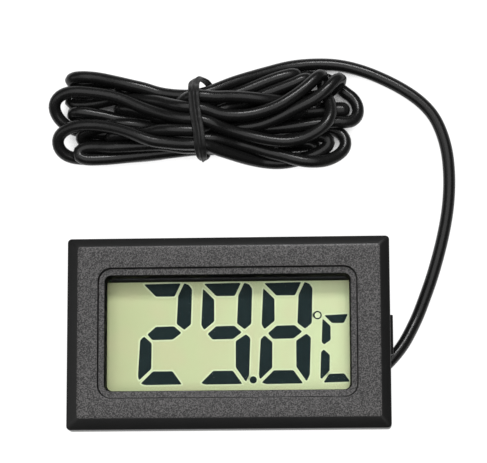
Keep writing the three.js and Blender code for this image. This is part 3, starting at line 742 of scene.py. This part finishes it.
def tie_section():
    """The strap's section: flat vinyl with a wire along its middle; (across, outwards)."""
    half, thick, ridge = TIE["half_width"], TIE["thick"], TIE["ridge"]
    right = [(half - 0.1, 0.0), (half, 0.08), (half, thick - 0.1), (half - 0.12, thick), (0.45, thick),
             (0.3, thick + 0.06), (0.18, ridge - 0.06), (0.0, ridge)]
    left = [(-x, h) for x, h in reversed(right[:-1])]
    return right + left


def build_tie(line):
    """The strap swept round its path, with a faint waviness on its outside."""
    angles, path = tie_path(line)
    count = len(path)
    centre = path.mean(axis=0)
    section = tie_section()
    vertices = []
    for k in range(count):
        along = unit(path[(k + 1) % count] - path[k - 1])
        outward = path[k] - centre
        outward[0] = 0
        outward = unit(outward - along * outward.dot(along))
        across = np.cross(along, outward)
        width = table_value(TIE_WIDTH, angles[k])
        turn = math.radians(angles[k])
        wave = 0.03 * math.sin(9 * turn) + 0.02 * math.sin(23 * turn)
        for u, h in section:
            point = path[k] + across * u * width + outward * (h + wave * (h > 0.1))
            vertices.append((point[0], point[1], max(point[2], TIE["floor"])))
    size = len(section)
    faces = []
    for k in range(count):
        a = k * size
        b = ((k + 1) % count) * size
        faces += [(a + i, a + (i + 1) % size, b + (i + 1) % size, b + i) for i in range(size)]
    return add_mesh("tie_strap", vertices, faces, smooth_angle=40)


# ------------------------ probe
def build_probe():
    """The sensor's moulded shell, with a lip where the lead goes in and a round nose."""
    length = PROBE["tip"] - PROBE["back"]
    r, nose = PROBE["radius"], PROBE["nose"]
    body = r - PROBE["lip"]
    profile = [(0.0, 0.35), (0.9, 0.3), (0.98, 0.05), (1.1, 0.0), (r - 0.06, 0.0), (r, 0.08), (r, 0.7),
               (body, 0.85), (body, length - nose)]
    for k in range(1, 9):
        angle = k * math.pi / 16
        profile.append((body * math.cos(angle), length - nose + nose * math.sin(angle)))
    profile[-1] = (0.0, length)
    sides = 32
    vertices = []
    for radius, x in profile:
        for k in range(sides):
            angle = 2 * math.pi * k / sides
            vertices.append((PROBE["back"] + x, PROBE["y"] + radius * math.cos(angle),
                             PROBE["z"] + radius * math.sin(angle)))
    faces = []
    for ring in range(len(profile) - 1):
        for k in range(sides):
            a = ring * sides + k
            b = ring * sides + (k + 1) % sides
            faces.append((a, b, b + sides, a + sides))
    return add_mesh("probe_shell", vertices, faces, smooth_angle=40, merge=True)


# ------------------------ material helpers
class Recipe:
    """Short ways to add shader nodes to one material."""

    def __init__(self, name, color, roughness, metallic=0.0):
        self.material = bpy.data.materials.new(name)
        self.material.use_nodes = True
        self.tree = self.material.node_tree
        self.shader = self.tree.nodes["Principled BSDF"]
        self.set("Base Color", (*color, 1))
        self.set("Roughness", roughness)
        self.set("Metallic", metallic)
        self.place = self.tree.nodes.new("ShaderNodeTexCoord").outputs["Object"]

    def set(self, socket, value):
        self.shader.inputs[socket].default_value = value

    def link(self, source, socket):
        self.tree.links.new(source, self.shader.inputs[socket])

    def node(self, kind, inputs=(), **settings):
        made = self.tree.nodes.new(kind)
        for key, value in settings.items():
            setattr(made, key, value)
        for socket, value in dict(inputs).items():
            if isinstance(value, bpy.types.NodeSocket):
                self.tree.links.new(value, made.inputs[socket])
            else:
                made.inputs[socket].default_value = value
        return made

    def noise(self, size, detail=2.0, rough=0.5):
        """Noise whose patches are about size millimetres across."""
        made = self.node("ShaderNodeTexNoise", {
            "Vector": self.place, "Scale": 1 / (size * MM), "Detail": detail, "Roughness": rough})
        return made.outputs["Fac"]

    def levels(self, value, low, high, out_low, out_high):
        made = self.node("ShaderNodeMapRange", {
            "Value": value, "From Min": low, "From Max": high, "To Min": out_low, "To Max": out_high})
        return made.outputs["Result"]

    def blend(self, factor, first, second):
        """A colour between two, each of them a colour or a socket."""
        made = self.node("ShaderNodeMix", {"Factor": factor}, data_type="RGBA")
        for place, value in ((6, first), (7, second)):
            if isinstance(value, bpy.types.NodeSocket):
                self.tree.links.new(value, made.inputs[place])
            else:
                made.inputs[place].default_value = (*value, 1)
        return made.outputs[2]

    def vary_roughness(self, value, low, high):
        """Roughness from low to high, as the noise goes through its middle range."""
        self.link(self.levels(value, 0.3, 0.7, low, high), "Roughness")

    def color_between(self, factor, first, second):
        self.link(self.blend(factor, first, second), "Base Color")

    def relief(self, height, depth, under=None):
        self.link(self.bump(height, depth, under), "Normal")

    def bump(self, height, depth, under=None):
        """A bump whose relief is depth millimetres, over another one if under is given."""
        inputs = {"Height": height, "Distance": depth * MM, "Strength": 1.0}
        if under is not None:
            inputs["Normal"] = under
        return self.node("ShaderNodeBump", inputs).outputs["Normal"]


def grey(value):
    return (value, value, value)


# ------------------------ plastics
def grained_plastic():
    """The bezel's spark-eroded front: black with a matt grain and fine glints."""
    r = Recipe("grained_plastic", (0.03, 0.0295, 0.0295), 0.4)
    r.set("Specular IOR Level", 0.3)
    grain = r.noise(0.17, 1.5, 0.6)
    coarse = r.noise(0.4, 2.0, 0.5)
    tone = r.levels(grain, 0.4, 0.68, 0.0, 1.0)
    r.color_between(tone, (0.002, 0.0019, 0.0019), (0.1, 0.095, 0.095))
    r.vary_roughness(coarse, 0.3, 0.4)
    r.relief(grain, 0.02, under=r.bump(coarse, 0.01))
    return r.material


def smooth_plastic(name="smooth_plastic", tone=0.006, roughness=0.36, gloss=0.25):
    """Moulded black plastic with faint flow marks."""
    r = Recipe(name, grey(tone), roughness)
    r.set("Specular IOR Level", gloss)
    patches = r.noise(3.5, 3.0, 0.6)
    fine = r.noise(0.12, 2.0, 0.5)
    r.color_between(patches, grey(tone * 0.75), grey(tone * 1.3))
    r.vary_roughness(fine, roughness - 0.05, roughness + 0.06)
    r.relief(fine, 0.002)
    return r.material


def case_plastic():
    """The case's sides and back: black with a fine satin grain."""
    r = Recipe("case_plastic", grey(0.02), 0.5)
    grain = r.noise(0.2, 2.0, 0.55)
    patches = r.noise(5.0, 3.0, 0.6)
    r.color_between(patches, grey(0.016), grey(0.028))
    r.vary_roughness(grain, 0.45, 0.62)
    r.relief(grain, 0.012)
    return r.material


def lead_sheath():
    """Soft black vinyl with a dull gloss and a faint waviness."""
    r = Recipe("lead_sheath", grey(0.006), 0.25)
    r.set("Specular IOR Level", 0.24)
    wave = r.noise(1.4, 2.0, 0.5)
    dust = r.noise(0.35, 3.0, 0.6)
    r.color_between(dust, (0.004, 0.004, 0.0042), (0.008, 0.008, 0.0078))
    r.vary_roughness(dust, 0.22, 0.29)
    r.relief(wave, 0.02)
    return r.material


def tie_vinyl():
    """The tie's crinkled vinyl."""
    r = Recipe("tie_vinyl", grey(0.008), 0.42)
    r.set("Specular IOR Level", 0.18)
    crinkle = r.noise(0.45, 3.0, 0.6)
    r.color_between(crinkle, grey(0.005), grey(0.012))
    r.vary_roughness(crinkle, 0.38, 0.55)
    r.relief(crinkle, 0.04)
    return r.material


def probe_vinyl():
    """The probe's moulded shell, a little glossier than the lead."""
    r = Recipe("probe_vinyl", grey(0.007), 0.25)
    r.set("Specular IOR Level", 0.2)
    patches = r.noise(0.8, 2.0, 0.5)
    r.color_between(patches, grey(0.005), grey(0.01))
    r.vary_roughness(patches, 0.22, 0.32)
    r.relief(patches, 0.01)
    return r.material


# ------------------------ display materials
def polariser():
    """A clear film with a soft gloss."""
    r = Recipe("display_film", (0.02, 0.024, 0.018), 0.22)
    r.set("Alpha", 0.03)
    r.set("Specular IOR Level", 0.2)
    speckle = r.noise(0.5, 3.0, 0.6)
    r.vary_roughness(speckle, 0.18, 0.3)
    return r.material


def display_glass():
    r = Recipe("display_glass", (0.015, 0.02, 0.016), 0.05)
    r.set("Alpha", 0.01)
    r.set("Specular IOR Level", 0.2)
    smear = r.noise(4.0, 2.0, 0.5)
    r.vary_roughness(smear, 0.04, 0.1)
    return r.material


def reflector():
    """The pale green-yellow back of the display, a little uneven in patches, with painted shade that darkens
    it towards -X.
    """
    r = Recipe("display_reflector", (0.6, 0.66, 0.37), 0.8)
    r.set("Specular IOR Level", 0.0)
    axes = r.node("ShaderNodeSeparateXYZ", {"Vector": r.place})
    # Painted shade: the colour runs from darker at -X to lighter at +X.
    across = r.levels(axes.outputs["X"], -19 * MM, 19 * MM, 0.0, 1.0)
    cloud = r.noise(5.0, 2.0, 0.5)
    speckle = r.noise(0.3, 2.0, 0.6)
    base = r.blend(across, (0.565, 0.63, 0.35), (0.72, 0.835, 0.495))
    tinted = r.blend(r.levels(cloud, 0.42, 0.68, 0.0, 0.35), base, (0.68, 0.62, 0.4))
    dim = r.blend(r.levels(speckle, 0.35, 0.65, 0.0, 0.10), tinted, (0.5, 0.55, 0.29))
    r.link(dim, "Base Color")
    r.relief(speckle, 0.01)
    return r.material


def segment_ink():
    """The dark blue-green of a driven segment."""
    r = Recipe("segment_ink", (0.014, 0.025, 0.027), 0.8)
    r.set("Specular IOR Level", 0.0)
    cloud = r.noise(2.5, 2.0, 0.5)
    r.color_between(cloud, (0.011, 0.022, 0.024), (0.017, 0.029, 0.031))
    return r.material


def painted_halo():
    """A painted highlight: a pale fringe round a segment, lighter than the display's back."""
    r = Recipe("painted_halo", (0.66, 0.76, 0.48), 0.8)
    r.set("Specular IOR Level", 0.0)
    cloud = r.noise(2.5, 2.0, 0.5)
    r.color_between(cloud, (0.72, 0.83, 0.52), (0.77, 0.88, 0.57))
    return r.material


# ------------------------ inner materials
def metal(name, tone, roughness):
    """Plated sheet metal with a fine grain and faint stains."""
    r = Recipe(name, tone, roughness, 1.0)
    grain = r.noise(0.12, 3.0, 0.6)
    stain = r.noise(2.0, 3.0, 0.6)
    r.color_between(stain, tuple(0.8 * c for c in tone), tone)
    r.vary_roughness(grain, roughness - 0.08, roughness + 0.12)
    r.relief(grain, 0.006)
    return r.material


def mottled(name, dark, light, size, roughness, depth):
    """A general dull material: two tones in patches, with matching relief."""
    r = Recipe(name, light, roughness)
    patches = r.noise(size, 3.0, 0.6)
    r.color_between(r.levels(patches, 0.3, 0.7, 0.0, 1.0), dark, light)
    r.vary_roughness(patches, roughness - 0.06, roughness + 0.06)
    r.relief(patches, depth)
    return r.material


def inner_materials():
    """One material for each kind of inner part, by the record's slot."""
    return {
        "contact_rubber": mottled("contact_rubber", (0.03, 0.03, 0.035), (0.07, 0.07, 0.08), 0.3, 0.8, 0.01),
        "foam": mottled("foam", grey(0.015), grey(0.04), 0.15, 0.95, 0.04),
        "laminate": mottled("laminate", (0.01, 0.08, 0.03), (0.02, 0.13, 0.05), 0.6, 0.4, 0.01),
        "epoxy": mottled("epoxy", grey(0.006), grey(0.014), 1.2, 0.3, 0.02),
        "steel": metal("steel", (0.6, 0.61, 0.62), 0.28),
        "ceramic_tan": mottled("ceramic_tan", (0.3, 0.2, 0.1), (0.42, 0.3, 0.16), 0.25, 0.55, 0.005),
        "nylon": mottled("nylon", (0.6, 0.57, 0.48), (0.72, 0.7, 0.62), 0.8, 0.5, 0.01),
        "wire_red": mottled("wire_red", (0.28, 0.02, 0.012), (0.4, 0.035, 0.02), 0.5, 0.45, 0.01),
        "wire_black": mottled("wire_black", grey(0.01), grey(0.02), 0.5, 0.45, 0.01),
    }


# ------------------------ floor and light
def add_floor():
    mesh = bpy.data.meshes.new("floor")
    half = 1.5
    corners = [(-half, -half, 0), (half, -half, 0), (half, half, 0), (-half, half, 0)]
    mesh.from_pydata(corners, [], [(0, 1, 2, 3)])
    floor = add_object("floor", mesh)
    r = Recipe("floor", grey(0.1), 0.9)
    r.set("Specular IOR Level", 0.0)
    r.set("Emission Strength", 1.0)
    # Painted contact shadow: an ambient occlusion node dims the floor's even white glow within 4 mm of the
    # objects.
    crevice = r.node("ShaderNodeAmbientOcclusion", {"Distance": 4 * MM}, samples=8, only_local=False)
    lit = r.levels(crevice.outputs["AO"], 0.12, 0.42, 0.0, 1.0)
    r.link(r.blend(lit, grey(0.02), grey(1.0)), "Emission Color")
    paper = r.noise(3.0, 3.0, 0.6)
    r.color_between(paper, grey(0.09), grey(0.11))
    mesh.materials.append(r.material)


# Name, place and size in metres, and watts.
SOFTBOXES = [
    ("overhead", (0.0, 0.05, 0.9), (1.1, 1.1), 7.8),
    ("key", (0.08, 0.6, 0.8), (0.3, 0.2), 5.0),
    ("fill", (-0.75, -0.05, 0.62), (0.5, 0.5), 0.9),
]
LIGHT_AIM = (0.0, 0.012, 0.005)
WORLD_LIGHT = 0.12
GLASS_DEPTH = 32                      # see-through faces that a light path may cross


def add_softbox(name, place, size, watts):
    light = bpy.data.lights.new(name, "AREA")
    light.shape = "RECTANGLE"
    light.size, light.size_y = size
    light.energy = watts
    lamp = bpy.data.objects.new(name, light)
    lamp.location = place
    lamp.rotation_euler = (Vector(LIGHT_AIM) - Vector(place)).to_track_quat("-Z", "Y").to_euler()
    bpy.context.scene.collection.objects.link(lamp)


def add_lights():
    """The softboxes and a faint even light from all round."""
    for light in SOFTBOXES:
        add_softbox(*light)
    world = bpy.data.worlds.new("world")
    world.use_nodes = True
    back = world.node_tree.nodes["Background"]
    back.inputs["Color"].default_value = (1, 1, 1, 1)
    back.inputs["Strength"].default_value = WORLD_LIGHT
    scene = bpy.context.scene
    scene.world = world
    scene.view_settings.view_transform = "Standard"
    scene.cycles.transparent_max_bounces = GLASS_DEPTH


# ------------------------ assembly
def paint(piece, material):
    piece.data.materials.clear()
    piece.data.materials.append(material)


def repaint(node, material):
    """Gives a carried-over CAD node its material."""
    for place in nodes[node].material_slots:
        place.material = material


def place_piece(piece, body, slot, *replaced):
    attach(piece, body)
    if replaced:
        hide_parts(*replaced)


add_camera()

line = wind_cord()
lead = cord_piece(line)
paint(lead, lead_sheath())
place_piece(lead, "case", "lead_sheath", "lead_cable", "cable_hank")

tie = build_tie(line)
paint(tie, tie_vinyl())
place_piece(tie, "case", "tie_vinyl", "twist_tie")

probe = build_probe()
paint(probe, probe_vinyl())
place_piece(probe, "case", "probe_shell", "probe_tip")

bezel = build_bezel()
smooth = smooth_plastic()
# The window's walls: matt black, and darker than the rest, painted shade in the recess.
paint_bezel(bezel, grained_plastic(), smooth, smooth_plastic("matt_shaded_plastic", 0.004, 0.7, 0.05))
place_piece(bezel, "case", "case_plastic", "front_bezel")

satin = case_plastic()
paint(soften("rear_case", "case_shell", 0.12, "case"), satin)
paint(soften("battery_door", "door_shell", 0.1, "door"), satin)
for side in ("left", "right"):
    latch = soften(f"latch_{side}", f"latch_{side}_shell", 0.15, f"{side}_latch")
    paint(latch, smooth)

segments = build_segments()
paint_segments(segments, segment_ink(), painted_halo())
place_piece(segments, "case", "display_film")

glass = display_glass()
seal = smooth_plastic("cell_seal", 0.01, 0.6, 0.1)
# CAD node, piece, slot, material, and how far its lower and upper faces are drawn in.
PANES = [
    ("lcd_front_polarizer", "film_pane", "display_film", polariser(), 0.045, 0.045),
    ("lcd_front_glass", "front_pane", "display_glass", glass, 0.005, 0.045),
    ("lcd_rear_glass", "rear_pane", "display_glass", glass, 0.045, 0.005),
]
for node, name, kind, material, under, over in PANES:
    pane = soften(node, name, 0.06, "case")
    ease_pane(pane, under, over)
    paint(pane, material)
    if material == glass:
        seal_edges(pane, seal)
repaint("lcd_reflector", reflector())

INNER_NODES = {
    "contact_rubber": ["zebra_strip", "cell_1_gasket", "cell_2_gasket"],
    "foam": ["lcd_cushion"],
    "laminate": ["circuit_board"],
    "steel": ["board_screw_1", "board_screw_2", "board_screw_3", "board_screw_4", "crystal_can",
              "cell_1_can", "cell_2_can", "cell_1_cap", "cell_2_cap", "contact_positive",
              "contact_negative", "bridge_contact"],
    "epoxy": ["chip_blob", "chip_resistor_1", "chip_resistor_2", "thermistor_bead"],
    "ceramic_tan": ["chip_capacitor_1", "chip_capacitor_2"],
    "nylon": ["lead_anchor_tie"],
    "wire_red": ["conductor_a"],
    "wire_black": ["conductor_b"],
}
inner = inner_materials()
for kind, inner_nodes in INNER_NODES.items():
    for node in inner_nodes:
        repaint(node, inner[kind])
repaint("lead_inner_end", lead.data.materials[0])

add_floor()
add_lights()
